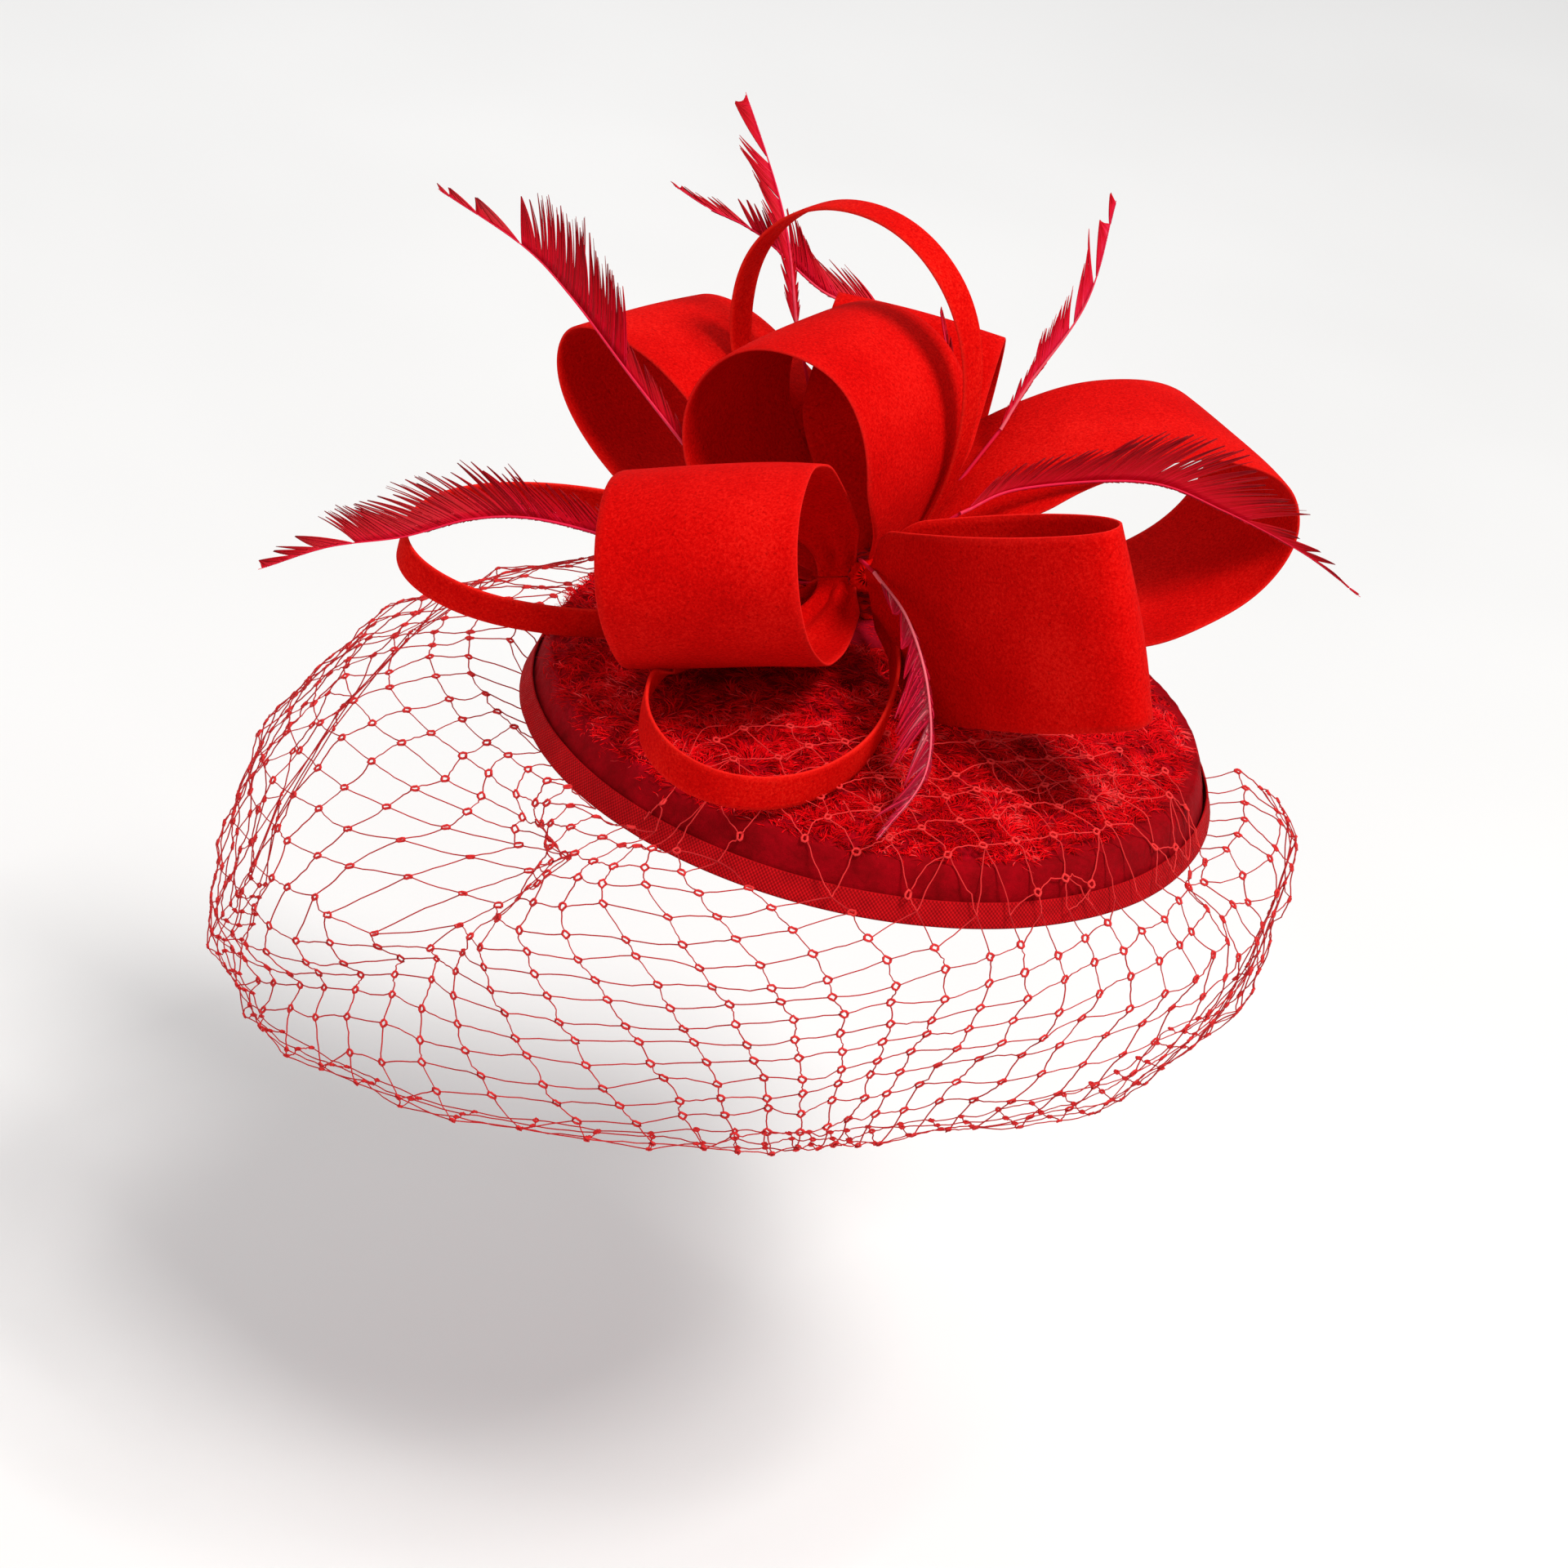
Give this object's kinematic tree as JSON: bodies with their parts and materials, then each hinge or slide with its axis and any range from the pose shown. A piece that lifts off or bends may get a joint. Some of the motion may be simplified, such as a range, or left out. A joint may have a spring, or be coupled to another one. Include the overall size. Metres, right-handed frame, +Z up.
{
  "type": "fascinator headpiece",
  "caption": "Round plush-covered fascinator with wide ribbon loops, narrow ribbon rings, curled feathers, a knotted net veil and sprung hair clips underneath.",
  "frame": {"origin": "centre of the underside opening, in the plane of the rim, where the base sits on the head", "axes": "+Z up out of the crown, -Y towards the wearer's face, +X towards the wearer's left"},
  "size_m": [0.365, 0.297, 0.2985],
  "materials": {
    "plush": "long-nap plush",
    "stiff_shell": "stiffened woven cloth",
    "lining_cloth": "plain weave",
    "woven_binding": "finely ribbed ribbon",
    "edge_wire": "plain wire",
    "felt": "felt",
    "ribbon": "suede-like ribbon",
    "narrow_ribbon": "suede-like ribbon",
    "feather": "stripped feather",
    "net": "knotted open net",
    "clip_metal": "nickel-plated",
    "spring_steel": "spring wire"
  },
  "bodies": {
    "root": {"base_shell": "stiff_shell", "bow_knot": "ribbon", "brim_binding": "woven_binding", "brim_wire": "edge_wire", "clip_base_left": "clip_metal", "clip_base_right": "clip_metal", "clip_pad_left": "felt", "clip_pad_right": "felt", "clip_pin_left": "clip_metal", "clip_pin_right": "clip_metal", "clip_spring_left": "spring_steel", "clip_spring_right": "spring_steel", "crown_cover": "plush", "feather_front": "feather", "feather_left": "feather", "feather_over_right_loop": "feather", "feather_right": "feather", "feather_small_back": "feather", "feather_top": "feather", "feather_top_second": "feather", "feather_upper_left": "feather", "lining": "lining_cloth", "loop_back": "ribbon", "loop_centre": "ribbon", "loop_front_left": "ribbon", "loop_front_right": "ribbon", "loop_left": "ribbon", "loop_right": "ribbon", "ring_front": "narrow_ribbon", "ring_left": "narrow_ribbon", "ring_top": "narrow_ribbon", "trim_patch": "felt", "veil": "net"},
    "clip_left_lever": {"clip_lever_left": "clip_metal"},
    "clip_right_lever": {"clip_lever_right": "clip_metal"}
  },
  "joints": [
    {"name": "clip_left_hinge", "type": "hinge", "parent": "root", "child": "clip_left_lever", "pos_m": [-0.06956, 0, 0.01146], "axis": [0, -1, 0], "range_deg": [0, 24], "stiffness_Nm_per_rad": 0.02, "springref_deg": -20.05},
    {"name": "clip_right_hinge", "type": "hinge", "parent": "root", "child": "clip_right_lever", "pos_m": [0.06956, 0, 0.01146], "axis": [0, 1, 0], "range_deg": [0, 24], "stiffness_Nm_per_rad": 0.02, "springref_deg": -20.05}
  ]
}
